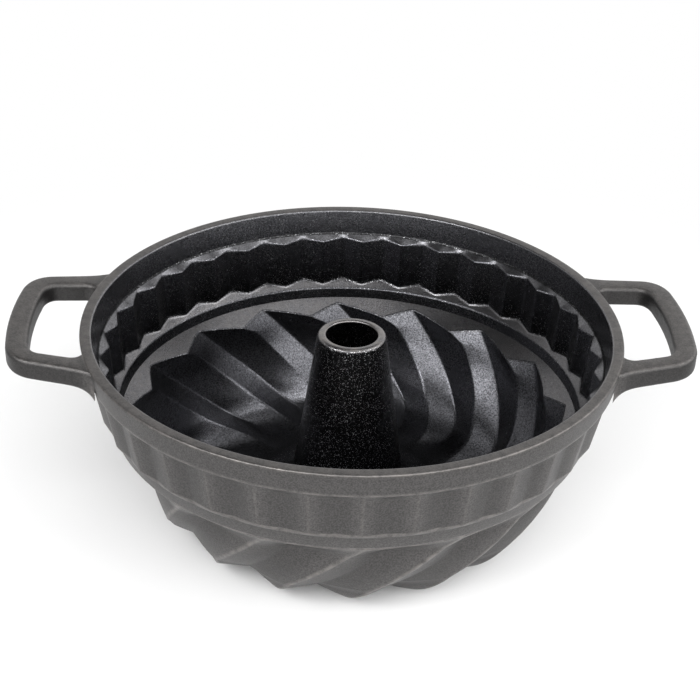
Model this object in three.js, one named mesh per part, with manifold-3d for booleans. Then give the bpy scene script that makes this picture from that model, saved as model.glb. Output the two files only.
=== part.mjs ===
import * as THREE from 'three';
import { mergeVertices } from 'three/addons/utils/BufferGeometryUtils.js';
import Module from 'manifold-3d';

const wasm = await Module();
wasm.setup();

// Sizes are in millimetres. The pan stands on its foot at height 0, and its handles lie along X.
const PAN_HEIGHT = 102;
const WALL = 4.1;
const WELD = 0.002;

// The plain rim, with a flat lip that carries the two handles.
const RIM_RADIUS = 127.5;
const RIM_DEPTH = 12;
const LIP_WIDTH = 5.6;
const RIM_OUTER_DRAFT = 1.9;
const RIM_INNER_DRAFT = 2.2;
const RIM_ROUND = 1.2;
const RIM_SEGMENTS = 80;
const RIM_FOOT_OUTER = RIM_RADIUS - RIM_OUTER_DRAFT;
const RIM_FOOT_INNER = RIM_RADIUS - LIP_WIDTH - RIM_INNER_DRAFT;

// The step below the upright flutes: a sloping shelf above a short plain wall.
const BAND_DEPTH = 26.6;
const BAND_TOP = PAN_HEIGHT - RIM_DEPTH;
const BAND_BOTTOM = BAND_TOP - BAND_DEPTH;
const STEP_DEPTH = 8.1;
const STEP_INSET = 10;
const STEP_RISE = 4.7;
const STEP_DRAFT = 1.5;
const STEP_WALL = 4.6;
const STEP_OUTER_DRAFT = 3.3;
const STEP_BOTTOM = BAND_BOTTOM - STEP_DEPTH;
const STEP_FOOT_INNER = RIM_FOOT_INNER - STEP_INSET;
const STEP_FOOT_OUTER = STEP_FOOT_INNER + STEP_WALL;
const BAND_FOOT_OUTER = STEP_FOOT_OUTER + STEP_OUTER_DRAFT;

// The band of upright flutes: sharp corners inside, a softer wave outside.
const FLUTE_COUNT = 34;
const FLUTE_STEP = (2 * Math.PI) / FLUTE_COUNT;
const FLUTE_PHASE = THREE.MathUtils.degToRad(5.3);
const LEDGE = { inset: 0.9, drop: 2.2 };
const FLUTE_HEAD = { tipInset: 1.4, tipDrop: 2.7, rootInset: 5.2, rootDrop: 3.8 };
const FLUTE_TOE = { tipInset: 3.1, rootInset: 7.7 };
const WAVE_HEAD = { recess: 0.4, tipInset: 1.4, tipDrop: 2.8, rootInset: 4, rootDrop: 3.4 };
const WAVE_TOE = { tipStand: 2.3, tipRise: 2.2, rootStand: 0.2, rootRise: 1.6 };
const FLUTE_TOP = {
  tip: RIM_FOOT_INNER - FLUTE_HEAD.tipInset,
  tipHeight: BAND_TOP - FLUTE_HEAD.tipDrop,
  root: RIM_FOOT_INNER - FLUTE_HEAD.rootInset,
  rootHeight: BAND_TOP - FLUTE_HEAD.rootDrop,
};
const FLUTE_FOOT = {
  tip: RIM_FOOT_INNER - FLUTE_TOE.tipInset,
  tipHeight: BAND_BOTTOM,
  root: RIM_FOOT_INNER - FLUTE_TOE.rootInset,
  rootHeight: BAND_BOTTOM,
};
const WAVE_TOP = {
  tip: RIM_FOOT_OUTER - WAVE_HEAD.tipInset,
  tipHeight: BAND_TOP - WAVE_HEAD.tipDrop,
  root: RIM_FOOT_OUTER - WAVE_HEAD.rootInset,
  rootHeight: BAND_TOP - WAVE_HEAD.rootDrop,
};
const WAVE_FOOT = {
  tip: BAND_FOOT_OUTER + WAVE_TOE.tipStand,
  tipHeight: BAND_BOTTOM + WAVE_TOE.tipRise,
  root: BAND_FOOT_OUTER + WAVE_TOE.rootStand,
  rootHeight: BAND_BOTTOM + WAVE_TOE.rootRise,
};

// The floor and the foot under it. The flutes of the wall run out on the floor.
const FLOOR_TOP = 17;
const FLOOR_HEIGHT = 5;
const FLOOR_RINGS = 4;
const FLOOR_RADIUS = 0.492 * STEP_FOOT_INNER;
const FOOT_OUTER = FLOOR_RADIUS + 0.73 * WALL;
const FOOT_INNER = FLOOR_RADIUS - 2.2 * WALL;

// The swirl: sixteen folded flutes that turn as they run down to the floor. Their two lines are
// given as shares of the step's inner radius and of the height from the floor to the step.
const SWIRL_COUNT = 16;
const SWIRL_STEP = (2 * Math.PI) / SWIRL_COUNT;
const SWIRL_START = THREE.MathUtils.degToRad(1.4);
const SWIRL_TURN = THREE.MathUtils.degToRad(32.4);
const CREST_ANGLE = THREE.MathUtils.degToRad(8.6);
const WALL_RINGS = 6;
const WALL_RINGS_TOP = 0.832 * STEP_BOTTOM;
const SHOULDER = { drop: 4.8, ridgeInset: 2.9, grooveInset: 6.5 };
const SHOULDER_HEIGHT = STEP_BOTTOM - SHOULDER.drop;
function swirlLine(shares) {
  return new THREE.SplineCurve(shares.map(([radius, height]) => new THREE.Vector2(
    radius * STEP_FOOT_INNER,
    THREE.MathUtils.lerp(FLOOR_HEIGHT, STEP_BOTTOM, height),
  )));
}

const valleyLine = swirlLine([
  [0.971, 0.964],
  [0.9225, 0.616],
  [0.855, 0.318],
  [0.77, 0.0835],
  [0.638, 0],
]);
const crestLine = swirlLine([
  [0.906, 0.887],
  [0.8835, 0.612],
  [0.804, 0.318],
  [0.698, 0.127],
  [0.565, 0.052],
]);

// The hollow centre tube, a slender cone with a rounded open top.
const TUBE_DROP = 7.2;
const TUBE_TOP = PAN_HEIGHT - TUBE_DROP;
const TUBE_TOP_RADIUS = 16.3;
const TUBE_TAPER = 0.142;
const TUBE_WALL = 4.1;
const TUBE_ROUND = 1.8;
const TUBE_ROOT_SPREAD = 17;
const TUBE_SEGMENTS = 48;
const TUBE_FOOT_RADIUS = TUBE_TOP_RADIUS + TUBE_TAPER * (TUBE_TOP - FLOOR_TOP);
const BORE_FOOT_RADIUS = TUBE_FOOT_RADIUS - TUBE_WALL;
const BORE_TOP_RADIUS = TUBE_TOP_RADIUS - TUBE_WALL;

// The loop handles, cast with the rim. They leave it just below the lip and rise a little.
const HANDLE_DROP = 0.1;
const HANDLE_RISE = 0.07;
const HANDLE_THICKNESS = 9.9;
const HANDLE_ROUND = 2.1;
const HANDLE_STAND = 2;
const HANDLE_REACH = 32.7;
const HANDLE_END_BAR = 10.5;
const HANDLE_HALF_WIDTH = 44.6;
const HANDLE_ARM = 10.7;
const HANDLE_TOP = PAN_HEIGHT - HANDLE_DROP;
const HANDLE_ROOT = RIM_RADIUS + HANDLE_STAND;
const HANDLE_TIP = RIM_RADIUS + HANDLE_REACH;

function polar(radius, angle, height) {
  return [radius * Math.cos(angle), radius * Math.sin(angle), height];
}

// Joins a loop of rings, each with as many points as the next, into one closed body.
// The loop runs down the inside of the wall and back up its outside.
function loftedBody(rings) {
  const count = rings[0].length;
  const faces = [];
  rings.forEach((ring, r) => {
    const here = r * count;
    const next = ((r + 1) % rings.length) * count;
    ring.forEach((point, i) => {
      const j = (i + 1) % count;
      faces.push(here + i, here + j, next + j);
      faces.push(here + i, next + j, next + i);
    });
  });
  const geometry = new THREE.BufferGeometry();
  geometry.setAttribute('position', new THREE.Float32BufferAttribute(rings.flat(2), 3));
  geometry.setIndex(faces);
  return geometry;
}

// One ring round the upright flutes: tip, flank, root and flank of each.
function fluteRing({ tip, tipHeight, root, rootHeight }) {
  const ring = [];
  const shares = [0, 0.5, 1, 0.5];
  for (let k = 0; k < FLUTE_COUNT; k += 1) {
    shares.forEach((share, i) => {
      const angle = FLUTE_PHASE + FLUTE_STEP * (k + i / shares.length);
      const radius = THREE.MathUtils.lerp(tip, root, share);
      ring.push(polar(radius, angle, THREE.MathUtils.lerp(tipHeight, rootHeight, share)));
    });
  }
  return ring;
}

function roundFluteRing(radius, height) {
  return fluteRing({ tip: radius, tipHeight: height, root: radius, rootHeight: height });
}

// One ring round the swirl: valley, crest and two points on the long flank of each flute.
function swirlRing(valley, crest, turn) {
  const ring = [];
  const flank = SWIRL_STEP - CREST_ANGLE;
  const angles = [0, CREST_ANGLE, CREST_ANGLE + flank / 3, CREST_ANGLE + (2 * flank) / 3];
  const shares = [0, 1, 2 / 3, 1 / 3];
  for (let k = 0; k < SWIRL_COUNT; k += 1) {
    shares.forEach((share, i) => {
      const angle = turn + SWIRL_STEP * k + angles[i];
      const radius = THREE.MathUtils.lerp(valley.x, crest.x, share);
      ring.push(polar(radius, angle, THREE.MathUtils.lerp(valley.y, crest.y, share)));
    });
  }
  return ring;
}

function roundSwirlRing(radius, height, turn) {
  const point = new THREE.Vector2(radius, height);
  return swirlRing(point, point, turn);
}

// Where a falling profile line passes a height, as a share of the line.
function shareAtHeight(line, height) {
  let low = 0;
  let high = 1;
  for (let i = 0; i < 40; i += 1) {
    const middle = (low + high) / 2;
    if (line.getPoint(middle).y > height) {
      low = middle;
    } else {
      high = middle;
    }
  }
  return low;
}

// The flutes turn steadily with the distance down the valley line.
function turnAt(share) {
  const steps = 400;
  const lengths = valleyLine.getLengths(steps);
  return SWIRL_START - (SWIRL_TURN * lengths[Math.round(share * steps)]) / lengths[steps];
}

// A point of a profile line at a height, and the same height on the outside of the wall.
function pointAtHeight(line, height) {
  return new THREE.Vector2(line.getPoint(shareAtHeight(line, height)).x, height);
}

function outsideAtHeight(line, height) {
  const slope = line.getTangent(shareAtHeight(line, height));
  return new THREE.Vector2(pointAtHeight(line, height).x + WALL / Math.abs(slope.y), height);
}

// The outside of the floor lies square to the inside line, and never below the foot.
function outsideAlong(line, share) {
  const point = line.getPoint(share);
  const slope = line.getTangent(share);
  return new THREE.Vector2(point.x - slope.y * WALL, Math.max(point.y + slope.x * WALL, 0));
}

function manifoldOf(geometry) {
  const shell = new THREE.BufferGeometry();
  shell.setAttribute('position', geometry.attributes.position);
  shell.setIndex(geometry.index);
  const welded = mergeVertices(shell, WELD);
  const triangles = [];
  for (let i = 0; i < welded.index.count; i += 3) {
    const corners = [0, 1, 2].map((k) => welded.index.getX(i + k));
    if (new Set(corners).size === 3) {
      triangles.push(...corners);
    }
  }
  return new wasm.Manifold(new wasm.Mesh({
    numProp: 3,
    vertProperties: new Float32Array(welded.attributes.position.array),
    triVerts: new Uint32Array(triangles),
  }));
}

function geometryOf(manifold) {
  const mesh = manifold.getMesh();
  const geometry = new THREE.BufferGeometry();
  geometry.setAttribute('position', new THREE.Float32BufferAttribute(mesh.vertProperties, 3));
  geometry.setIndex(Array.from(mesh.triVerts));
  return geometry;
}

function turnedBody(outline, segments) {
  const points = outline.map(([radius, height]) => new THREE.Vector2(radius, height));
  points.push(points[0].clone());
  const geometry = new THREE.LatheGeometry(points, segments);
  geometry.rotateX(Math.PI / 2);
  return manifoldOf(geometry);
}

const iron = { color: 0x3d3b3a, roughness: 0.55, metalness: 0.75 };
const group = new THREE.Group();
group.name = 'fluted_tube_pan';

function addPiece(name, geometry, look) {
  geometry.computeVertexNormals();
  const mesh = new THREE.Mesh(geometry, new THREE.MeshStandardMaterial(look));
  mesh.name = name;
  group.add(mesh);
}

// Rim ring: a plain upright band with a flat rounded lip, listed from the inside foot round.
const lipInner = RIM_RADIUS - LIP_WIDTH;
const rimBand = turnedBody([
  [RIM_FOOT_INNER, BAND_TOP],
  [RIM_FOOT_OUTER, BAND_TOP],
  [RIM_RADIUS, PAN_HEIGHT - 2 * RIM_ROUND],
  [RIM_RADIUS - 0.1 * RIM_ROUND, PAN_HEIGHT - 0.6 * RIM_ROUND],
  [RIM_RADIUS - 0.4 * RIM_ROUND, PAN_HEIGHT - 0.15 * RIM_ROUND],
  [RIM_RADIUS - RIM_ROUND, PAN_HEIGHT],
  [lipInner + 0.6 * RIM_ROUND, PAN_HEIGHT],
  [lipInner, PAN_HEIGHT - 0.7 * RIM_ROUND],
], RIM_SEGMENTS);

// Half of the right handle's plan, from the rim out along the arm to the middle of the end bar,
// and back along the finger opening; the other half mirrors it.
const openHalf = HANDLE_HALF_WIDTH - HANDLE_ARM;
const openEnd = HANDLE_TIP - HANDLE_END_BAR;
function onRim(depth, across) {
  return [Math.sqrt((RIM_RADIUS - depth) ** 2 - across ** 2), across];
}

function handleHalf(plan, side, path) {
  path.forEach(([x, y, controlX, controlY]) => {
    if (controlX === undefined) {
      plan.lineTo(x, side * y);
    } else {
      plan.quadraticCurveTo(controlX, side * controlY, x, side * y);
    }
  });
}

const skinDepth = 0.14 * LIP_WIDTH;
const coreDepth = 0.84 * LIP_WIDTH;
const outerSide = [
  onRim(skinDepth, 1.11 * HANDLE_HALF_WIDTH),
  [HANDLE_ROOT, HANDLE_HALF_WIDTH, HANDLE_ROOT - 0.26 * HANDLE_REACH, 1.036 * HANDLE_HALF_WIDTH],
  [HANDLE_TIP - 0.46 * HANDLE_REACH, 0.935 * HANDLE_HALF_WIDTH],
  [
    HANDLE_TIP - 0.06 * HANDLE_REACH,
    0.62 * HANDLE_HALF_WIDTH,
    HANDLE_TIP - 0.138 * HANDLE_REACH,
    0.89 * HANDLE_HALF_WIDTH,
  ],
];
const innerSide = [
  onRim(skinDepth, 0.853 * openHalf),
  [HANDLE_ROOT, openHalf, HANDLE_ROOT - 0.15 * HANDLE_REACH, 0.994 * openHalf],
  [openEnd - 0.23 * HANDLE_REACH, 0.944 * openHalf],
  [
    openEnd - 0.037 * HANDLE_REACH,
    0.62 * openHalf,
    openEnd - 0.055 * HANDLE_REACH,
    0.912 * openHalf,
  ],
];
const coreEnds = [onRim(coreDepth, 1.067 * HANDLE_HALF_WIDTH), onRim(coreDepth, 0.883 * openHalf)];
function reversed(path) {
  return path.toReversed().map(([x, y], i) => {
    const bend = path[path.length - i];
    return bend && bend.length === 4 ? [x, y, bend[2], bend[3]] : [x, y];
  });
}

const handlePlan = new THREE.Shape();
handlePlan.moveTo(outerSide[0][0], -outerSide[0][1]);
handleHalf(handlePlan, -1, outerSide.slice(1));
const farCorner = outerSide.at(-1);
handlePlan.quadraticCurveTo(HANDLE_TIP + 0.06 * HANDLE_REACH, 0, farCorner[0], farCorner[1]);
handleHalf(handlePlan, 1, reversed(outerSide).slice(1));
handleHalf(handlePlan, 1, coreEnds);
handleHalf(handlePlan, 1, innerSide);
const openCorner = innerSide.at(-1);
handlePlan.quadraticCurveTo(openEnd + 0.037 * HANDLE_REACH, 0, openCorner[0], -openCorner[1]);
handleHalf(handlePlan, -1, reversed(innerSide).slice(1));
handleHalf(handlePlan, -1, coreEnds.toReversed());
handlePlan.closePath();
const handleSolid = new THREE.ExtrudeGeometry(handlePlan, {
  depth: HANDLE_THICKNESS - 2 * HANDLE_ROUND,
  bevelEnabled: true,
  bevelThickness: HANDLE_ROUND,
  bevelSize: HANDLE_ROUND,
  bevelOffset: -HANDLE_ROUND,
  bevelSegments: 2,
  curveSegments: 6,
});
handleSolid.translate(-RIM_RADIUS, 0, HANDLE_TOP - HANDLE_THICKNESS + HANDLE_ROUND);
handleSolid.applyMatrix4(new THREE.Matrix4().makeShear(0, HANDLE_RISE, 0, 0, 0, 0));
handleSolid.translate(RIM_RADIUS, 0, 0);
const rightLoop = manifoldOf(handleSolid);
const leftLoop = manifoldOf(handleSolid.clone().rotateZ(Math.PI));

// The handles part from the rim on an upright plane just outside it.
const span = 3 * HANDLE_TIP;
const betweenRoots = manifoldOf(new THREE.BoxGeometry(2 * HANDLE_ROOT, span, span));
const roots = rightLoop.add(leftLoop).intersect(betweenRoots);
addPiece('rim_ring', geometryOf(rimBand.add(roots)), iron);
addPiece('right_handle', geometryOf(rightLoop.subtract(betweenRoots)), iron);
addPiece('left_handle', geometryOf(leftLoop.subtract(betweenRoots)), iron);

// Fluted band: upright flutes under a narrow ledge inside the rim.
addPiece('fluted_band', loftedBody([
  roundFluteRing(RIM_FOOT_INNER, BAND_TOP),
  roundFluteRing(RIM_FOOT_INNER - LEDGE.inset, BAND_TOP - LEDGE.drop),
  fluteRing(FLUTE_TOP),
  fluteRing(FLUTE_FOOT),
  roundFluteRing(BAND_FOOT_OUTER, BAND_BOTTOM),
  fluteRing(WAVE_FOOT),
  fluteRing(WAVE_TOP),
  roundFluteRing(RIM_FOOT_OUTER - WAVE_HEAD.recess, BAND_TOP),
]), iron);

// Step ring: the flutes end on a sloping shelf above a short plain wall.
addPiece('step_ring', loftedBody([
  fluteRing(FLUTE_FOOT),
  roundFluteRing(STEP_FOOT_INNER + STEP_DRAFT, STEP_BOTTOM + STEP_RISE),
  roundFluteRing(STEP_FOOT_INNER, STEP_BOTTOM),
  roundFluteRing(STEP_FOOT_OUTER, STEP_BOTTOM),
  roundFluteRing(BAND_FOOT_OUTER, BAND_BOTTOM),
]), iron);

// Swirl wall: a sloping collar that breaks into the turning flutes.
const insideWall = [
  roundSwirlRing(STEP_FOOT_INNER, STEP_BOTTOM, SWIRL_START),
  swirlRing(valleyLine.getPoint(0), crestLine.getPoint(0), SWIRL_START),
];
const outsideWall = [
  roundSwirlRing(STEP_FOOT_OUTER, STEP_BOTTOM, SWIRL_START),
  swirlRing(
    new THREE.Vector2(STEP_FOOT_OUTER - SHOULDER.ridgeInset, SHOULDER_HEIGHT),
    new THREE.Vector2(STEP_FOOT_OUTER - SHOULDER.grooveInset, SHOULDER_HEIGHT),
    turnAt(shareAtHeight(valleyLine, SHOULDER_HEIGHT)),
  ),
];
for (let i = 0; i < WALL_RINGS; i += 1) {
  const height = THREE.MathUtils.lerp(WALL_RINGS_TOP, FLOOR_TOP, i / (WALL_RINGS - 1));
  const turn = turnAt(shareAtHeight(valleyLine, height));
  const insideEdges = [valleyLine, crestLine].map((line) => pointAtHeight(line, height));
  const outsideEdges = [valleyLine, crestLine].map((line) => outsideAtHeight(line, height));
  insideWall.push(swirlRing(...insideEdges, turn));
  outsideWall.push(swirlRing(...outsideEdges, turn));
}
addPiece('swirl_wall', loftedBody([...insideWall, ...outsideWall.toReversed()]), iron);

// Bowl floor: the flutes fade into a round floor that rises to the root of the tube.
const insideFloor = [insideWall.at(-1)];
const outsideFloor = [outsideWall.at(-1)];
const valleyStart = shareAtHeight(valleyLine, FLOOR_TOP);
const crestStart = shareAtHeight(crestLine, FLOOR_TOP);
for (let i = 1; i <= FLOOR_RINGS; i += 1) {
  const valleyShare = THREE.MathUtils.lerp(valleyStart, 1, i / FLOOR_RINGS);
  const crestShare = THREE.MathUtils.lerp(crestStart, 1, i / FLOOR_RINGS);
  const turn = turnAt(valleyShare);
  const ridge = outsideAlong(valleyLine, valleyShare);
  const groove = outsideAlong(crestLine, crestShare);
  insideFloor.push(swirlRing(valleyLine.getPoint(valleyShare), crestLine.getPoint(crestShare), turn));
  outsideFloor.push(swirlRing(ridge, groove, turn));
}
const floorTurn = turnAt(1);
const rootProfile = [[1, 0], [0.56, 0.067], [0.235, 0.3], [0.065, 0.633], [0, 1]];
const underProfile = [[1, 0], [0.556, 0.07], [0.28, 0.26], [0.06, 0.553], [0, 1]];
insideFloor.push(roundSwirlRing(FLOOR_RADIUS, FLOOR_HEIGHT, floorTurn));
rootProfile.forEach(([spread, rise]) => {
  const radius = TUBE_FOOT_RADIUS + spread * TUBE_ROOT_SPREAD;
  const height = THREE.MathUtils.lerp(FLOOR_HEIGHT, FLOOR_TOP, rise);
  insideFloor.push(roundSwirlRing(radius, height, floorTurn));
});
outsideFloor.push(roundSwirlRing(FOOT_OUTER, 0, floorTurn));
underProfile.forEach(([spread, rise]) => {
  const radius = THREE.MathUtils.lerp(BORE_FOOT_RADIUS, FOOT_INNER, spread);
  outsideFloor.push(roundSwirlRing(radius, rise * FLOOR_TOP, floorTurn));
});
addPiece('bowl_floor', loftedBody([...insideFloor, ...outsideFloor.toReversed()]), iron);

// Centre tube: an open cone with an even wall and a rounded top edge.
addPiece('centre_tube', geometryOf(turnedBody([
  [BORE_FOOT_RADIUS, FLOOR_TOP],
  [TUBE_FOOT_RADIUS, FLOOR_TOP],
  [TUBE_TOP_RADIUS + 0.11 * TUBE_ROUND, TUBE_TOP - TUBE_ROUND],
  [TUBE_TOP_RADIUS - 0.22 * TUBE_ROUND, TUBE_TOP - 0.28 * TUBE_ROUND],
  [TUBE_TOP_RADIUS - 0.78 * TUBE_ROUND, TUBE_TOP],
  [BORE_TOP_RADIUS + 0.5 * TUBE_ROUND, TUBE_TOP],
  [BORE_TOP_RADIUS + 0.06 * TUBE_ROUND, TUBE_TOP - 0.56 * TUBE_ROUND],
], TUBE_SEGMENTS)), iron);

export default group;
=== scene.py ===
from math import atan2, cos, floor, hypot, pi, radians, sin, sqrt

import bmesh
import bpy
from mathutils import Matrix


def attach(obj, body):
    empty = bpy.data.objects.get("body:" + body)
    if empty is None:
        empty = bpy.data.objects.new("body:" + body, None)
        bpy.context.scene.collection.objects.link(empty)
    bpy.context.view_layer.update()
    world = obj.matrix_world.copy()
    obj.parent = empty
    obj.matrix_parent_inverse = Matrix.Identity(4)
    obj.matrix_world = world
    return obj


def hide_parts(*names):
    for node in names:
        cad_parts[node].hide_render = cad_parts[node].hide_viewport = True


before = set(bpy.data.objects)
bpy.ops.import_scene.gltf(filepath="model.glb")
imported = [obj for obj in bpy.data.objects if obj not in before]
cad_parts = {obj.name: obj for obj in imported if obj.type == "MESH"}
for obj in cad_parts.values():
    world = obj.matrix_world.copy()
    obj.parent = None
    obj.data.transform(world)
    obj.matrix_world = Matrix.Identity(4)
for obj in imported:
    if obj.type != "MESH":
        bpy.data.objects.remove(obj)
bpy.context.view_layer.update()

# Rim ring: the plain upright band round the top of the pan, with a flat lip. It is seasoned cast iron
# and one casting with the rest, so the roots of both loop handles grow out of its side in soft flares.
MM = 0.001
PAN_HEIGHT = 102.0
RIM_RADIUS = 127.5
RIM_FOOT_HEIGHT = 90.0
RIM_FOOT_INNER = 119.7
RIM_FOOT_OUTER = 125.6
LIP_INNER = 121.9
RIM_STEPS = 288
SKIN = ("seasoning_and_shade", "pebbled", "wear_and_highlight")


def seasoned_iron(name):
    """Oil-baked iron: painted shade outside (-1), grey (0), glossy and painted lighter (1),
    painted shade inside (2), deepest painted shade (3), and worn bright with painted highlights.
    """
    iron = bpy.data.materials.new(name)
    iron.use_nodes = True
    tree = iron.node_tree
    skin = tree.nodes["Principled BSDF"]
    skin.inputs["Metallic"].default_value = 1.0
    place = tree.nodes.new("ShaderNodeTexCoord").outputs["Object"]

    def grain(scale, detail, rough):
        noise = tree.nodes.new("ShaderNodeTexNoise")
        noise.inputs["Scale"].default_value = scale
        noise.inputs["Detail"].default_value = detail
        noise.inputs["Roughness"].default_value = rough
        tree.links.new(place, noise.inputs["Vector"])
        return noise.outputs["Fac"]

    def painted(attribute):
        node = tree.nodes.new("ShaderNodeAttribute")
        node.attribute_name = attribute
        return node.outputs["Fac"]

    def ranged(source, low, high, from_low=0.0, from_high=1.0):
        node = tree.nodes.new("ShaderNodeMapRange")
        node.inputs["From Min"].default_value = from_low
        node.inputs["From Max"].default_value = from_high
        node.inputs["To Min"].default_value = low
        node.inputs["To Max"].default_value = high
        tree.links.new(source, node.inputs["Value"])
        return node.outputs["Result"]

    def joined(kind, first, second):
        node = tree.nodes.new("ShaderNodeMath")
        node.operation = kind
        for socket, value in zip(node.inputs, (first, second)):
            if isinstance(value, float):
                socket.default_value = value
            else:
                tree.links.new(value, socket)
        return node.outputs["Value"]

    def tinted(share, first, second):
        node = tree.nodes.new("ShaderNodeMix")
        node.data_type = "RGBA"
        tree.links.new(share, node.inputs["Factor"])
        for socket, value in ((node.inputs["A"], first), (node.inputs["B"], second)):
            if isinstance(value, tuple):
                socket.default_value = value
            else:
                tree.links.new(value, socket)
        return node.outputs["Result"]

    seasoning_and_shade, pebbled, wear_and_highlight = (painted(layer) for layer in SKIN)
    oiled_and_lit = ranged(seasoning_and_shade, 0.0, 1.0)
    painted_shade = ranged(seasoning_and_shade, 0.0, 1.0, 1.0, 2.0)
    deepest_shade = ranged(seasoning_and_shade, 0.0, 0.88, 2.0, 3.0)
    outer_shade = ranged(seasoning_and_shade, 0.0, 0.55, 0.0, -1.0)
    patches = ranged(grain(38.0, 4.0, 0.6), 0.0, 1.0, 0.3, 0.7)
    swells = grain(300.0, 2.0, 0.5)
    pebbles = grain(1400.0, 2.0, 0.6)
    speckle = ranged(pebbles, 0.0, 1.0, 0.36, 0.64)

    # Painted glints: white specks on the oiled, pebbled skin stand in for light caught by its bumps.
    painted_glints = joined("MULTIPLY", oiled_and_lit, ranged(pebbled, 0.0, 0.9, 0.3, 1.0))
    painted_glints = joined("MULTIPLY", painted_glints, ranged(grain(2000.0, 1.0, 0.5), 0.0, 1.0, 0.63, 0.7))

    outer = tinted(speckle, (0.073, 0.07, 0.069, 1.0), (0.128, 0.1235, 0.122, 1.0))
    # The lighter inside tint is painted light on the up-facing oiled ledge, shelf, collar and tube top.
    inner = tinted(speckle, (0.1, 0.099, 0.104, 1.0), (0.195, 0.194, 0.204, 1.0))
    # The shade tint and the near-black below are painted shade on the walls, floor and tube inside the pan.
    shade_tint = tinted(speckle, (0.032, 0.032, 0.035, 1.0), (0.136, 0.137, 0.149, 1.0))
    plain = tinted(painted_shade, tinted(oiled_and_lit, outer, inner), shade_tint)
    plain = tinted(deepest_shade, plain, (0.01, 0.01, 0.01, 1.0))
    # Painted shade on the outside: in the grooves, on the handle sides, on the rim band and underneath.
    plain = tinted(outer_shade, plain, (0.035, 0.035, 0.035, 1.0))
    plain = tinted(painted_glints, plain, (0.95, 0.95, 0.97, 1.0))
    # Wear lightens scuffed tops, edges and ridges; on edges and ridges it also paints their highlights.
    scuffs_and_highlights = joined("MULTIPLY", wear_and_highlight, ranged(swells, 0.25, 0.9, 0.35, 0.65))
    tree.links.new(tinted(scuffs_and_highlights, plain, (0.23, 0.215, 0.205, 1.0)), skin.inputs["Base Color"])

    gloss = joined("SUBTRACT", ranged(patches, 0.5, 0.44), joined("MULTIPLY", oiled_and_lit, 0.19))
    gloss = joined("SUBTRACT", gloss, joined("MULTIPLY", wear_and_highlight, 0.05))
    tree.links.new(gloss, skin.inputs["Roughness"])

    bump = tree.nodes.new("ShaderNodeBump")
    bump.inputs["Distance"].default_value = 0.0005
    tree.links.new(ranged(pebbled, 0.0, 0.5), bump.inputs["Strength"])
    tree.links.new(joined("ADD", pebbles, joined("MULTIPLY", swells, 0.08)), bump.inputs["Height"])
    tree.links.new(bump.outputs["Normal"], skin.inputs["Normal"])
    return iron


def eased(corners, steps=5):
    """A line through corners, each a tuple of measures with its bend last, with every bend rounded off."""
    line = []
    for i, (*corner, bend) in enumerate(corners):
        if bend == 0:
            line.append(tuple(corner))
            continue
        ends = []
        for near in (corners[i - 1][:-1], corners[i + 1][:-1]):
            length = hypot(near[0] - corner[0], near[1] - corner[1])
            share = min(bend / length, 0.49)
            ends.append([c + share * (n - c) for c, n in zip(corner, near)])
        for k in range(steps + 1):
            t = k / steps
            line.append(tuple(
                (1 - t) ** 2 * a + 2 * t * (1 - t) * c + t * t * b
                for a, c, b in zip(ends[0], corner, ends[1])
            ))
    return line


def blank_shell():
    """An empty mesh whose vertices will keep the row they belong to and their skin."""
    shell = bmesh.new()
    shell.verts.layers.int.new("row")
    for name in SKIN:
        shell.verts.layers.float.new(name)
    return shell


def spun(outline, steps):
    """Spins a closed outline of (radius, height) round the pan's axis; each vertex remembers its row."""
    shell = blank_shell()
    row = shell.verts.layers.int["row"]
    points = []
    for i, (radius, height) in enumerate(outline):
        points.append(shell.verts.new((radius * MM, 0.0, height * MM)))
        points[-1][row] = i
    sides = [shell.edges.new(pair) for pair in zip(points, points[1:] + points[:1])]
    bmesh.ops.spin(
        shell, geom=points + sides, cent=(0, 0, 0), axis=(0, 0, 1), angle=2 * pi, steps=steps, use_merge=True
    )
    return shell


def cast(name, shell, material, joints=()):
    """Makes a finished bmesh a smooth object, crisp at hard corners and flat between the rows of a joint."""
    row = shell.verts.layers.int["row"]
    bmesh.ops.recalc_face_normals(shell, faces=shell.faces)
    for face in shell.faces:
        face.smooth = {v[row] for v in face.verts} not in joints
    for edge in shell.edges:
        edge.smooth = edge.calc_face_angle(0.0) < radians(48)
    mesh = bpy.data.meshes.new(name)
    shell.to_mesh(mesh)
    shell.free()
    mesh.materials.append(material)
    piece = bpy.data.objects.new(name, mesh)
    bpy.context.scene.collection.objects.link(piece)
    return piece


def skinned(shell, skin_of):
    """Writes each vertex's skin into the mesh: its seasoning and painted shade, its pebbling, and its wear
    and painted highlights.
    """
    row = shell.verts.layers.int["row"]
    layers = [shell.verts.layers.float[name] for name in SKIN]
    for v in shell.verts:
        for layer, value in zip(layers, skin_of(v, row)):
            v[layer] = value


def band(value, low, high):
    """0 below low, 1 above high and a smooth rise between."""
    t = min(max((value - low) / (high - low), 0.0), 1.0)
    return t * t * (3 - 2 * t)


iron = seasoned_iron("seasoned_iron")
rim_outline = eased([
    (RIM_FOOT_INNER, RIM_FOOT_HEIGHT, 0),
    (RIM_FOOT_OUTER, RIM_FOOT_HEIGHT, 0.8),
    (RIM_FOOT_OUTER + 0.3, RIM_FOOT_HEIGHT + 1.9, 0),
    (RIM_RADIUS - 0.5, PAN_HEIGHT - 3.2, 0),
    (RIM_RADIUS, PAN_HEIGHT, 1.7),
    (RIM_RADIUS - 2.3, PAN_HEIGHT, 0),
    (LIP_INNER, PAN_HEIGHT, 1.1),
    (RIM_FOOT_INNER, RIM_FOOT_HEIGHT, 0),
])[:-1]
rim_shell = spun(rim_outline, RIM_STEPS)


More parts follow.
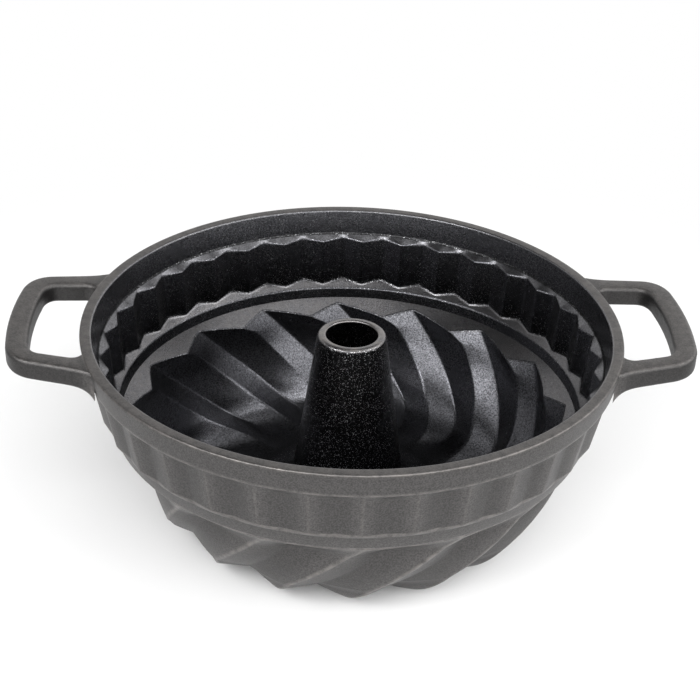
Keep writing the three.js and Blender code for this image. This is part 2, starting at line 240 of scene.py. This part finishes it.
# The roots: each arm of a handle spreads where it meets the rim, and its underside falls away in a flare.
HANDLE_TOP = PAN_HEIGHT - 0.1
HANDLE_RISE = 0.07
HANDLE_THICKNESS = 9.9
HANDLE_ROUND = 2.3
HANDLE_ROOT = 129.5
HANDLE_TIP = 160.2
HANDLE_HALF_WIDTH = 44.6
HANDLE_OPEN_HALF = 33.9
HANDLE_OPEN_END = 149.7
ROOT_FLARE = 4.5
ROOT_SINK = 1.2
ROOT_STEPS = 10
SECTION_SIDES = 32


def bent(start, middle, end, steps):
    """Points along a curve from start to end, drawn towards the middle point."""
    curve = []
    for k in range(steps + 1):
        t = k / steps
        curve.append(tuple(
            (1 - t) ** 2 * a + 2 * t * (1 - t) * b + t * t * c for a, b, c in zip(start, middle, end)
        ))
    return curve


def on_rim(across):
    """The point just inside the rim's outer face at a distance across from the handle's middle line."""
    return sqrt((RIM_RADIUS - ROOT_SINK) ** 2 - across ** 2), across


def bar_section(outer, inner, drop):
    """A rounded oblong across the bar, between a point of its outer edge and one of its inner edge."""
    half_width = hypot(outer[0] - inner[0], outer[1] - inner[1]) / 2
    half_height = (HANDLE_THICKNESS + drop) / 2
    section = []
    for k in range(SECTION_SIDES):
        turn = 2 * pi * (k + 0.5) / SECTION_SIDES
        across = (half_width - HANDLE_ROUND) * (1 if cos(turn) > 0 else -1) + HANDLE_ROUND * cos(turn)
        up = (half_height - HANDLE_ROUND) * (1 if sin(turn) > 0 else -1) + HANDLE_ROUND * sin(turn)
        share = 0.5 + 0.5 * across / half_width
        x = inner[0] + share * (outer[0] - inner[0])
        y = inner[1] + share * (outer[1] - inner[1])
        top = HANDLE_TOP + HANDLE_RISE * (x - RIM_RADIUS)
        section.append((x * MM, y * MM, (top - half_height + up) * MM))
    return section


def mirrored(sections):
    """The same sections on the other side of a handle's middle line."""
    return [[(x, -y, z) for x, y, z in section] for section in sections]


def swept(shell, sections, side):
    """Extrudes a closed ring from section to section, on the right side of the pan (1) or the left (-1)."""
    place = shell.verts.layers.int["row"]
    made = bmesh.ops.create_circle(shell, cap_ends=False, segments=SECTION_SIDES, radius=MM)
    ring = made["verts"]
    for i, v in enumerate(ring):
        v[place] = i
    edges = list(dict.fromkeys(edge for v in ring for edge in v.link_edges))
    ends = [edges]
    for k, section in enumerate(sections):
        if k > 0:
            grown = bmesh.ops.extrude_edge_only(shell, edges=edges)["geom"]
            ring = [g for g in grown if isinstance(g, bmesh.types.BMVert)]
            edges = [g for g in grown if isinstance(g, bmesh.types.BMEdge)]
        for v in ring:
            x, y, z = section[v[place]]
            v.co = (side * x, side * y, z)
    ends.append(edges)
    for loop in ends:
        bmesh.ops.edgeloop_fill(shell, edges=loop)


def bar_skin(v, row):
    """The flat sides of a handle's bar carry painted shade, and its top is a little worn."""
    turn = 2 * pi * (v[row] + 0.5) / SECTION_SIDES
    return -band(abs(cos(turn)), 0.4, 0.9), 0.5, 0.4 * band(sin(turn), 0.5, 0.9)


def rim_skin(v, row):
    """Painted shade inside and a little on the grey outside band, and both edges worn and painted
    lighter as highlights; the roots pass over into the handles' skin.
    """
    radius, height = hypot(v.co.x, v.co.y) / MM, v.co.z / MM
    root = band(radius, RIM_RADIUS + 0.5, RIM_RADIUS + 5.0)
    if root > 0:
        seasoning_and_shade, pebbled, wear_and_highlight = bar_skin(v, row)
        return root * seasoning_and_shade, pebbled, root * wear_and_highlight
    inside = 1 - band(radius, LIP_INNER - 0.6, LIP_INNER + 1.2)
    lip_edge = band(radius, RIM_RADIUS - 1.3, RIM_RADIUS - 0.4)
    lip_edge *= band(height, PAN_HEIGHT - 1.3, PAN_HEIGHT - 0.5)
    lip_top = band(height, PAN_HEIGHT - 0.6, PAN_HEIGHT - 0.1)
    foot_edge = band(radius, RIM_FOOT_OUTER - 1.0, RIM_FOOT_OUTER - 0.3)
    foot_edge *= 1 - band(height, RIM_FOOT_HEIGHT + 0.6, RIM_FOOT_HEIGHT + 1.4)
    # A little painted shade on the rim's outside band.
    outside_band_shade = 0.25 * (1 - inside) * (1 - lip_top)
    return 2.2 * inside - outside_band_shade, 0.5, max(0.75 * lip_edge, 0.8 * foot_edge, 0.45 * lip_top)


outer_root = bent(on_rim(49.6), (121.0, 46.3), (HANDLE_ROOT, HANDLE_HALF_WIDTH), ROOT_STEPS)
inner_root = bent(on_rim(28.8), (124.6, 34.6), (HANDLE_ROOT, HANDLE_OPEN_HALF), ROOT_STEPS)
root_sections = []
for k, (outer, inner) in enumerate(zip(outer_root, inner_root)):
    root_sections.append(bar_section(outer, inner, ROOT_FLARE * (1 - k / ROOT_STEPS) ** 3))
for side in (1, -1):
    swept(rim_shell, root_sections, side)
    swept(rim_shell, mirrored(root_sections), side)

skinned(rim_shell, rim_skin)
rim_ring = cast("rim_band", rim_shell, iron, [{0, 1}])
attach(rim_ring, "root")
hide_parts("rim_ring")

# Handles: two flat loops in the same casting, with rounded edges and an opening for gloved fingers.
# Each leaves the rim level with the lip and rises a little to a gently bowed end bar.
ARM_STEPS = 3
BEND_STEPS = 12
OUTER_BEND = (145.2, 41.7)
OUTER_END, OUTER_END_HALF = 158.2, 27.65
INNER_BEND = (142.2, 32.0)
INNER_END, INNER_END_HALF = 148.5, 21.0


def half_loop(arm, corner, bar):
    """One edge of half a handle: along the arm, round the corner and to the middle of the end bar."""
    return [
        *bent(*arm, ARM_STEPS)[:-1],
        *bent(*corner, BEND_STEPS)[:-1],
        *bent(*bar, BEND_STEPS)[:BEND_STEPS // 2 + 1],
    ]


outer_arm = half_loop(
    ((HANDLE_ROOT, HANDLE_HALF_WIDTH), (137.3, 43.15), OUTER_BEND),
    (OUTER_BEND, (155.7, 39.7), (OUTER_END, OUTER_END_HALF)),
    ((OUTER_END, OUTER_END_HALF), (2 * HANDLE_TIP - OUTER_END, 0.0), (OUTER_END, -OUTER_END_HALF)),
)
inner_arm = half_loop(
    ((HANDLE_ROOT, HANDLE_OPEN_HALF), (135.8, 32.95), INNER_BEND),
    (INNER_BEND, (147.9, 30.9), (INNER_END, INNER_END_HALF)),
    ((INNER_END, INNER_END_HALF), (2 * HANDLE_OPEN_END - INNER_END, 0.0), (INNER_END, -INNER_END_HALF)),
)
arm_sections = [bar_section(outer, inner, 0.0) for outer, inner in zip(outer_arm, inner_arm)]
far_sections = mirrored(arm_sections[-2::-1])
for name, node, side in (("right_loop", "right_handle", 1), ("left_loop", "left_handle", -1)):
    loop_shell = blank_shell()
    swept(loop_shell, arm_sections + far_sections, side)
    skinned(loop_shell, bar_skin)
    loop = cast(name, loop_shell, iron)
    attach(loop, "root")
    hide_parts(node)

# Fluted band: the upright zigzag flutes under the rim, in the same iron, cast crisp on the inside where
# they shape the cake and softer on the outside. A narrow sloping ledge joins their heads to the rim.
FLUTE_COUNT = 34
FLUTE_START = radians(5.3)
FLUTE_STEPS = 20
FLUTE_SOFT = 0.045
FLUTE_SOFT_OUTSIDE = 0.05
SOFT_TAPS = 3
BAND_FOOT_HEIGHT = 63.4
BAND_FOOT_OUTER = 117.6


def crowded(share):
    """Moves evenly spaced columns closer to the two ends of a facet, where the corners are."""
    return share - 0.7 * sin(2 * pi * share) / (2 * pi)


def joined_rows(rows, inside):
    """The row pairs of a ring's hidden joint faces, where it meets the pieces below and above it."""
    return [{inside - 1, inside}, {len(rows) - 1, 0}]


def folded(shell, rows, count, crest, start):
    """Folds a spun shell: each row gives its line at the fold's foot and crest, its turn, softness and skin.

    The skin is the seasoning, with its painted shade and light, at the foot and at the crest, the
    pebbling, and the wear, with its painted highlight, at the foot and elsewhere.
    """
    row = shell.verts.layers.int["row"]
    shares = {}
    for v in shell.verts:
        (foot_radius, foot_height), (crest_radius, crest_height), turn, soft, _ = rows[v[row]]
        column = (atan2(v.co.y, v.co.x) / (2 * pi) % 1.0) * count
        fold = floor(column + 1e-4)
        phase = max(column - fold, 0.0)
        if phase < 0.5:
            phase = crest * crowded(2 * phase)
        else:
            phase = crest + (1 - crest) * crowded(2 * phase - 1)
        share = 0.0
        for k in range(-SOFT_TAPS, SOFT_TAPS + 1):
            x = (phase + soft * k / SOFT_TAPS) % 1.0
            share += (x / crest if x < crest else (1 - x) / (1 - crest)) / (2 * SOFT_TAPS + 1)
        angle = start + turn + 2 * pi * (fold + phase) / count
        radius = foot_radius + share * (crest_radius - foot_radius)
        v.co.x = radius * cos(angle) * MM
        v.co.y = radius * sin(angle) * MM
        v.co.z = (foot_height + share * (crest_height - foot_height)) * MM
        shares[v] = share

    def folded_skin(v, row):
        foot, crest, pebbled, foot_wear_and_highlight, overall_wear_and_highlight = rows[v[row]][-1]
        ridge = 1 - band(shares[v], 0.03, 0.09)
        return foot + band(shares[v], 0.15, 0.6) * (crest - foot), pebbled, max(ridge * foot_wear_and_highlight, overall_wear_and_highlight)

    skinned(shell, folded_skin)


ledge = [(RIM_FOOT_INNER, RIM_FOOT_HEIGHT, 0), (119.3, 89.2, 0.5)]
shelf_groove = (114.4, 62.8, 0)
shelf_ridge = (112.3, 61.4, 0)
flute_inside = [
    eased(ledge + [(118.3, 87.3, 0.8), (116.0, 64.1, 1.5), shelf_groove]),
    eased(ledge + [(114.5, 87.0, 0.8), (113.0, 62.3, 1.1), shelf_ridge]),
]
flute_outside = [eased([
    (BAND_FOOT_OUTER, BAND_FOOT_HEIGHT, 0),
    (117.8 + 2.1 * rise, 65.0 + 0.6 * rise, 0.7),
    (118.0 + 2.1 * rise, 66.2 + 0.6 * rise, 0),
    (121.6 + 2.6 * rise, 86.6 + 0.6 * rise, 0.9),
    (124.9, RIM_FOOT_HEIGHT, 0),
]) for rise in (1, 0)]
grey_skin = (0, 0, 0.5, 0, 0)
shelf_skin = (1.2, 1.2, 0.3, 0.25, 0.25)

# From the top down inside: painted shade under the rim, a glossy ledge painted lighter, the flutes in
# painted shade, their feet in the deepest painted shade, and the shelf, glossy and painted lighter.
flute_skins = [(3, 3, 0.5, 0, 0)] * 6 + [(1.2, 1.2, 0.3, 0, 0)] * 2 + [(2.1, 2.1, 0.6, 0, 0)] * 5
flute_skins += [(3, 3, 0.6, 0, 0)] * 5 + [shelf_skin] * 2
flute_rows = []
for foot, crest, skin in zip(*flute_inside, flute_skins):
    flute_rows.append((foot, crest, 0.0, FLUTE_SOFT, skin))

# From the bottom up outside: a worn lower edge painted lighter as a highlight, then flutes with worn
# ridges painted as highlights and painted shade in the grooves.
flute_skins = [grey_skin] + [(0, 0, 0.5, 0.7, 0.7)] * 6 + [(0, -0.55, 0.5, 0.5, 0)] * 7 + [grey_skin]
for foot, crest, skin in zip(*flute_outside, flute_skins):
    flute_rows.append((foot, crest, 0.0, FLUTE_SOFT_OUTSIDE, skin))
flute_shell = spun([foot for foot, *_ in flute_rows], FLUTE_COUNT * FLUTE_STEPS)
folded(flute_shell, flute_rows, FLUTE_COUNT, 0.5, FLUTE_START)
fluted_band = cast("upright_flutes", flute_shell, iron, joined_rows(flute_rows, len(flute_inside[0])))
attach(fluted_band, "root")
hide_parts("fluted_band")

# Step ring: below the flutes the wall comes in on a sloping shelf and drops as a short plain step.
# Outside it is a smooth tapering band, in the same iron as the rest of the casting.
STEP_FOOT_HEIGHT = 55.1
STEP_FOOT_INNER = 110.0
STEP_FOOT_OUTER = 114.3
step_wall = [(110.9, 60.3, 0.8), (STEP_FOOT_INNER, STEP_FOOT_HEIGHT, 0)]
step_inside = [eased([shelf_groove, *step_wall]), eased([shelf_ridge, *step_wall])]
step_outside = eased([
    (STEP_FOOT_INNER, STEP_FOOT_HEIGHT, 0),
    (STEP_FOOT_OUTER, STEP_FOOT_HEIGHT, 0.7),
    (STEP_FOOT_OUTER + 0.5, STEP_FOOT_HEIGHT + 1.25, 0),
    (BAND_FOOT_OUTER, BAND_FOOT_HEIGHT, 0),
])[1:]
# Rounded outer edges are worn and painted lighter as highlights.
worn_highlit_edge_skin = (0, 0, 0.5, 0.8, 0.8)
# Inside the step: the shelf painted lighter, then the step wall in painted shade.
step_skins = [shelf_skin] * 2 + [(2.5, 2.5, 0.5, 0, 0)] * 6
step_rows = []
for foot, crest, skin in zip(*step_inside, step_skins):
    step_rows.append((foot, crest, 0.0, FLUTE_SOFT, skin))
# Outside: the worn edge painted as a highlight, then grey darkening upward into painted shade under the
# flutes.
step_skins = [worn_highlit_edge_skin] * 6 + [grey_skin, (-0.4, -0.4, 0.5, 0, 0)]
for point, skin in zip(step_outside, step_skins):
    step_rows.append((point, point, 0.0, FLUTE_SOFT, skin))
step_shell = spun([foot for foot, *_ in step_rows], FLUTE_COUNT * FLUTE_STEPS)
folded(step_shell, step_rows, FLUTE_COUNT, 0.5, FLUTE_START)
step_ring = cast("plain_step", step_shell, iron, joined_rows(step_rows, len(step_inside[0])))
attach(step_ring, "root")
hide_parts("step_ring")

# Swirl wall: a sloping collar breaks into sixteen folded flutes that turn as they run down the bowl.
# It is cast in one with the step above and the floor below, in iron of an even thickness, so every
# groove inside is a ridge outside.
SWIRL_COUNT = 16
SWIRL_START = radians(1.4)
SWIRL_RATE = radians(0.495)
SWIRL_CREST = 8.6 / 22.5
SWIRL_STEPS = 28
SWIRL_SOFT = 0.028
SWIRL_SOFT_OUTSIDE = 0.022
STRAIGHT_RADIUS = 62.0
TURNING_RADIUS = 86.0
TURN_STEPS = 400
SHOULDER_HEIGHT = 50.5
WALL_HEAD = 46.0
WALL_ROWS = 18
FLOOR_TOP = 17.0
WALL = 4.1
valley_line = [(106.5, 53.5), (101.2, 36.0), (93.8, 21.0), (84.5, 9.2), (70.0, 5.0), (48.0, 5.0)]
crest_line = [(99.4, 49.6), (96.9, 35.8), (88.2, 21.0), (76.6, 11.4), (62.0, 7.6), (48.0, 5.0)]


def along(points, share):
    """A point of the smooth curve through the given points, and the curve's direction there."""
    place = share * (len(points) - 1)
    i = min(int(place), len(points) - 2)
    t = place - i
    a, b = points[max(i - 1, 0)], points[i]
    c, d = points[i + 1], points[min(i + 2, len(points) - 1)]
    point, slope = [], []
    for k in range(2):
        start, end = (c[k] - a[k]) / 2, (d[k] - b[k]) / 2
        cube = 2 * b[k] - 2 * c[k] + start + end
        square = -3 * b[k] + 3 * c[k] - 2 * start - end
        point.append(cube * t ** 3 + square * t ** 2 + start * t + b[k])
        slope.append(3 * cube * t ** 2 + 2 * square * t + start)
    length = hypot(*slope)
    return point, (slope[0] / length, slope[1] / length)


def share_at(points, height):
    """How far down the curve it passes a height."""
    low, high = 0.0, 1.0
    for _ in range(40):
        middle = (low + high) / 2
        if along(points, middle)[0][1] > height:
            low = middle
        else:
            high = middle
    return low


turn_lengths = [0.0]
for k in range(TURN_STEPS):
    (x0, z0), _ = along(valley_line, k / TURN_STEPS)
    (x1, z1), _ = along(valley_line, (k + 1) / TURN_STEPS)
    turning = band(x0, STRAIGHT_RADIUS, TURNING_RADIUS)
    turn_lengths.append(turn_lengths[-1] + hypot(x1 - x0, z1 - z0) * turning)


def turn_at(share):
    """The flutes turn steadily with the distance down the valley line and run straight on the floor."""
    place = share * TURN_STEPS
    i = min(int(place), TURN_STEPS - 1)
    return -SWIRL_RATE * (turn_lengths[i] + (place - i) * (turn_lengths[i + 1] - turn_lengths[i]))


def outside_at(points, height):
    """The outside of the wall level with a height of the inside line."""
    (radius, _), slope = along(points, share_at(points, height))
    return radius + WALL / abs(slope[1]), height


wall_heights = [WALL_HEAD - (WALL_HEAD - FLOOR_TOP) * k / WALL_ROWS for k in range(WALL_ROWS + 1)]
wall_turns = [turn_at(share_at(valley_line, height)) for height in wall_heights]
collar = (STEP_FOOT_INNER, STEP_FOOT_HEIGHT, 0.0, 0)
wall_inside = []
for points in (valley_line, crest_line):
    wall_inside.append(eased([collar, (*points[0], 0.0, 0.9)] + [
        (along(points, share_at(points, height))[0][0], height, turn, 0)
        for height, turn in zip(wall_heights, wall_turns)
    ]))
shoulder_turn = turn_at(share_at(valley_line, SHOULDER_HEIGHT))
wall_outside = []
for points, shoulder in ((valley_line, 111.4), (crest_line, 107.8)):
    wall_outside.append(eased([
        (STEP_FOOT_INNER + 1.0, STEP_FOOT_HEIGHT, 0.0, 0),
        (STEP_FOOT_OUTER, STEP_FOOT_HEIGHT, 0.0, 0.6),
        (shoulder, SHOULDER_HEIGHT, shoulder_turn, 1.6),
    ] + [(*outside_at(points, height), turn, 0) for height, turn in zip(wall_heights, wall_turns)])[1:])
# Inside: the collar glossy and painted lighter, the bend below it in deeper painted shade, the flutes in
# painted shade.
wall_skins = [(1, 1, 0.3, 0.3, 0.3)] * 2 + [(2.6, 2.6, 0.5, 0, 0)] * 4
wall_skins += [(2, 2, 0.35, 0, 0)] * (len(wall_inside[0]) - 6)
wall_rows = []
for valley, crest, skin in zip(*wall_inside, wall_skins):
    wall_rows.append((valley[:2], crest[:2], valley[2], SWIRL_SOFT, skin))
# Outside: the worn edge painted as a highlight, then worn ridges painted as highlights and grooves in
# painted shade.
wall_skins = [worn_highlit_edge_skin] * 6 + [(0, -0.5, 0.5, 1, 0)] * (len(wall_outside[0]) - 6)
wall_outer_rows = []
for valley, crest, skin in zip(*wall_outside, wall_skins):
    wall_outer_rows.append((valley[:2], crest[:2], valley[2], SWIRL_SOFT_OUTSIDE, skin))
wall_rows += wall_outer_rows[::-1]
wall_shell = spun([foot for foot, *_ in wall_rows], SWIRL_COUNT * SWIRL_STEPS)
folded(wall_shell, wall_rows, SWIRL_COUNT, SWIRL_CREST, SWIRL_START)
swirl_wall = cast("swirled_wall", wall_shell, iron, joined_rows(wall_rows, len(wall_inside[0])))
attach(swirl_wall, "root")
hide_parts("swirl_wall")

# Bowl floor: the turning flutes run out on a round floor, which sweeps up to the root of the tube.
# It is the same iron again. Underneath, a plain ring is the foot that the pan stands on.
FLOOR_ROWS = 26
FLOOR_HEIGHT = 5.0
FLOOR_SOFT = 0.1
FOOT_OUTER = 57.0
FOOT_INNER = 45.0
TUBE_FOOT_RADIUS = 27.35
BORE_FOOT_RADIUS = 23.25
TUBE_ROOT_SPREAD = 17.0
TUBE_ROOT_STEPS = 12
valley_start = share_at(valley_line, FLOOR_TOP)
crest_start = share_at(crest_line, FLOOR_TOP)
floor_rows = []
under_rows = []
for k in range(FLOOR_ROWS + 1):
    shares = [start + (1 - start) * k / FLOOR_ROWS for start in (valley_start, crest_start)]
    turn = turn_at(shares[0])
    inside, outside = [], []
    for points, share in zip((valley_line, crest_line), shares):
        (radius, height), slope = along(points, share)
        inside.append((radius, height))
        outside.append((radius - slope[1] * WALL, max(height + slope[0] * WALL, 0.0)))
    if k == 0:
        outside = [outside_at(points, FLOOR_TOP) for points in (valley_line, crest_line)]
    fading = FLOOR_SOFT * (k / FLOOR_ROWS) ** 3
    # Inside, the floor is in painted shade that deepens towards the tube.
    painted_shade = 2 + (k / FLOOR_ROWS) ** 1.3
    floor_rows.append((*inside, turn, SWIRL_SOFT + fading, (painted_shade, painted_shade, 0.35, 0, 0)))
    # Underneath: worn ridges painted lighter as highlights, and painted shade in the grooves.
    if min(point[0] for point in outside) > FOOT_OUTER + 2:
        under_rows.append((*outside, turn, SWIRL_SOFT_OUTSIDE + fading, (-0.3, -0.7, 0.5, 1, 0)))
floor_turn = floor_rows[-1][2]
# The root of the tube is in deep painted shade.
for k in range(1, TUBE_ROOT_STEPS + 1):
    swing = pi / 2 * k / TUBE_ROOT_STEPS
    point = (
        TUBE_FOOT_RADIUS + TUBE_ROOT_SPREAD * (1 - sin(swing)),
        FLOOR_HEIGHT + (FLOOR_TOP - FLOOR_HEIGHT) * (1 - cos(swing)),
    )
    floor_rows.append((point, point, floor_turn, FLOOR_SOFT, (2.9, 2.9, 0.6, 0, 0)))
under_line = eased([
    (FOOT_OUTER + 2, 1.4, 0),
    (FOOT_OUTER, 0.0, 1.0),
    (FOOT_INNER, 0.0, 1.0),
    (TUBE_FOOT_RADIUS + 8, 1.2, 3.0),
    (TUBE_FOOT_RADIUS + 2, 4.4, 3.0),
    (BORE_FOOT_RADIUS + 1.3, 9.4, 3.0),
    (BORE_FOOT_RADIUS, FLOOR_TOP, 0),
])
# The foot and the underside are in painted shade.
under_rows += [(point, point, floor_turn, FLOOR_SOFT, (-0.5, -0.5, 0.5, 0, 0)) for point in under_line]
floor_joints = joined_rows(floor_rows + under_rows, len(floor_rows))
floor_rows += under_rows[::-1]
floor_shell = spun([foot for foot, *_ in floor_rows], SWIRL_COUNT * SWIRL_STEPS)
folded(floor_shell, floor_rows, SWIRL_COUNT, SWIRL_CREST, SWIRL_START)
bowl_floor = cast("bowl_bottom", floor_shell, iron, floor_joints)
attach(bowl_floor, "root")
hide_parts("bowl_floor")

# Centre tube: a slender hollow cone rising from the floor to just below the lip, open at the top.
# It is cast with the bowl, and its skin is the roughest of all.
TUBE_TOP = 94.8
TUBE_TOP_RADIUS = 16.3
BORE_TOP_RADIUS = 12.2
TUBE_STEPS = 160
tube_outline = eased([
    (BORE_FOOT_RADIUS, FLOOR_TOP, 0),
    (TUBE_FOOT_RADIUS, FLOOR_TOP, 0),
    (TUBE_TOP_RADIUS, TUBE_TOP, 2.0),
    (BORE_TOP_RADIUS, TUBE_TOP, 1.2),
    (BORE_FOOT_RADIUS, FLOOR_TOP, 0),
])[:-1]
tube_shell = spun(tube_outline, TUBE_STEPS)


def tube_skin(v, row):
    """The deepest painted shade and rough all over, with a top edge worn grey and painted lighter as a
    highlight.
    """
    top = band(v.co.z / MM, TUBE_TOP - 1.2, TUBE_TOP - 0.3)
    return 3.0 - 2.0 * top, 1.0 - 0.5 * top, top


skinned(tube_shell, tube_skin)
centre_tube = cast("centre_cone", tube_shell, iron)
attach(centre_tube, "root")
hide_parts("centre_tube")

# Stage: a sheet of white paper under soft studio light, seen from the photograph's viewpoint. Near the pan
# the paper is matt and takes its shadow; farther out it fades to plain white for the camera and reflections.
PAPER_NEAR = 0.16
PAPER_FAR = 0.42
SOFTBOX_DISTANCE = 1.5
floor_mesh = bpy.data.meshes.new("studio_floor")
sheet = bmesh.new()
bmesh.ops.create_grid(sheet, x_segments=1, y_segments=1, size=4.0)
sheet.to_mesh(floor_mesh)
sheet.free()
studio_floor = bpy.data.objects.new("studio_floor", floor_mesh)
studio_floor.location.z = -0.0002
bpy.context.scene.collection.objects.link(studio_floor)
paper = bpy.data.materials.new("white_paper")
paper.use_nodes = True
paper_tree = paper.node_tree
matt = paper_tree.nodes["Principled BSDF"]
matt.inputs["Base Color"].default_value = (0.87, 0.87, 0.87, 1.0)
matt.inputs["Roughness"].default_value = 1.0
matt.inputs["Specular IOR Level"].default_value = 0.0
glow = paper_tree.nodes.new("ShaderNodeEmission")
glow.inputs["Strength"].default_value = 1.0
spread = paper_tree.nodes.new("ShaderNodeVectorMath")
spread.operation = "LENGTH"
paper_tree.links.new(paper_tree.nodes.new("ShaderNodeTexCoord").outputs["Object"], spread.inputs[0])
far = paper_tree.nodes.new("ShaderNodeMapRange")
far.interpolation_type = "SMOOTHSTEP"
far.inputs["From Min"].default_value = PAPER_NEAR
far.inputs["From Max"].default_value = PAPER_FAR
paper_tree.links.new(spread.outputs["Value"], far.inputs["Value"])
rays = paper_tree.nodes.new("ShaderNodeLightPath")
shown = rays.outputs["Is Camera Ray"]
for kind in ("Is Glossy Ray", "Is Transmission Ray"):
    either = paper_tree.nodes.new("ShaderNodeMath")
    either.operation = "MAXIMUM"
    paper_tree.links.new(shown, either.inputs[0])
    paper_tree.links.new(rays.outputs[kind], either.inputs[1])
    shown = either.outputs["Value"]
white = paper_tree.nodes.new("ShaderNodeMath")
white.operation = "MULTIPLY"
paper_tree.links.new(shown, white.inputs[0])
paper_tree.links.new(far.outputs["Result"], white.inputs[1])
blank = paper_tree.nodes.new("ShaderNodeMixShader")
paper_tree.links.new(white.outputs["Value"], blank.inputs["Fac"])
paper_tree.links.new(matt.outputs["BSDF"], blank.inputs[1])
paper_tree.links.new(glow.outputs["Emission"], blank.inputs[2])
paper_tree.links.new(blank.outputs["Shader"], paper_tree.nodes["Material Output"].inputs["Surface"])
floor_mesh.materials.append(paper)

# The walls of the studio are pale, most of all on the right, and its ceiling is dark.
world = bpy.data.worlds.new("studio")
world.use_nodes = True
bpy.context.scene.world = world
air = world.node_tree
toward = air.nodes.new("ShaderNodeTexCoord").outputs["Generated"]
aside = air.nodes.new("ShaderNodeVectorMath")
aside.operation = "DOT_PRODUCT"
aside.inputs[1].default_value = (0.4, 0.12, 0.2)
air.links.new(toward, aside.inputs[0])
backdrop = air.nodes.new("ShaderNodeMath")
backdrop.inputs[1].default_value = 0.86
air.links.new(aside.outputs["Value"], backdrop.inputs[0])
aloft = air.nodes.new("ShaderNodeSeparateXYZ")
air.links.new(toward, aloft.inputs["Vector"])
level = air.nodes.new("ShaderNodeMapRange")
level.interpolation_type = "SMOOTHSTEP"
level.inputs["From Min"].default_value = 0.57
level.inputs["From Max"].default_value = 0.77
level.inputs["To Max"].default_value = 0.08
air.links.new(aloft.outputs["Z"], level.inputs["Value"])
air.links.new(backdrop.outputs["Value"], level.inputs["To Min"])
air.links.new(level.outputs["Result"], air.nodes["Background"].inputs["Strength"])
air.nodes["Background"].inputs["Color"].default_value = (1.0, 1.0, 1.0, 1.0)

# Softboxes: the bearing is turned clockwise from straight behind the pan, the rise is from the floor.
for name, bearing, rise, width, height, power in (
    ("front_softbox", 184, 42, 1.8, 0.95, 19.0),
    ("left_softbox", 234, 41, 0.8, 0.7, 10.0),
    ("right_softbox", 106, 40, 1.5, 1.0, 11.0),
    ("top_softbox", 70, 76, 0.8, 1.2, 3.7),
):
    lamp = bpy.data.lights.new(name, "AREA")
    lamp.shape = "RECTANGLE"
    lamp.size = width
    lamp.size_y = height
    lamp.energy = power
    softbox = bpy.data.objects.new(name, lamp)
    turn, lift = radians(bearing), radians(rise)
    softbox.location = (
        SOFTBOX_DISTANCE * sin(turn) * cos(lift),
        SOFTBOX_DISTANCE * cos(turn) * cos(lift),
        SOFTBOX_DISTANCE * sin(lift),
    )
    softbox.rotation_euler = (radians(90 - rise), 0.0, radians(180 - bearing))
    bpy.context.scene.collection.objects.link(softbox)

camera = bpy.data.cameras.new("photo_view")
camera.sensor_width = 36.0
camera.lens = 77.569
viewpoint = bpy.data.objects.new("photo_view", camera)
viewpoint.location = (-0.035762, -0.620657, 0.449457)
viewpoint.rotation_euler = (radians(59.6576), radians(-1.6910), radians(-2.2441))
bpy.context.scene.collection.objects.link(viewpoint)
bpy.context.scene.camera = viewpoint
bpy.context.scene.view_settings.view_transform = "Standard"
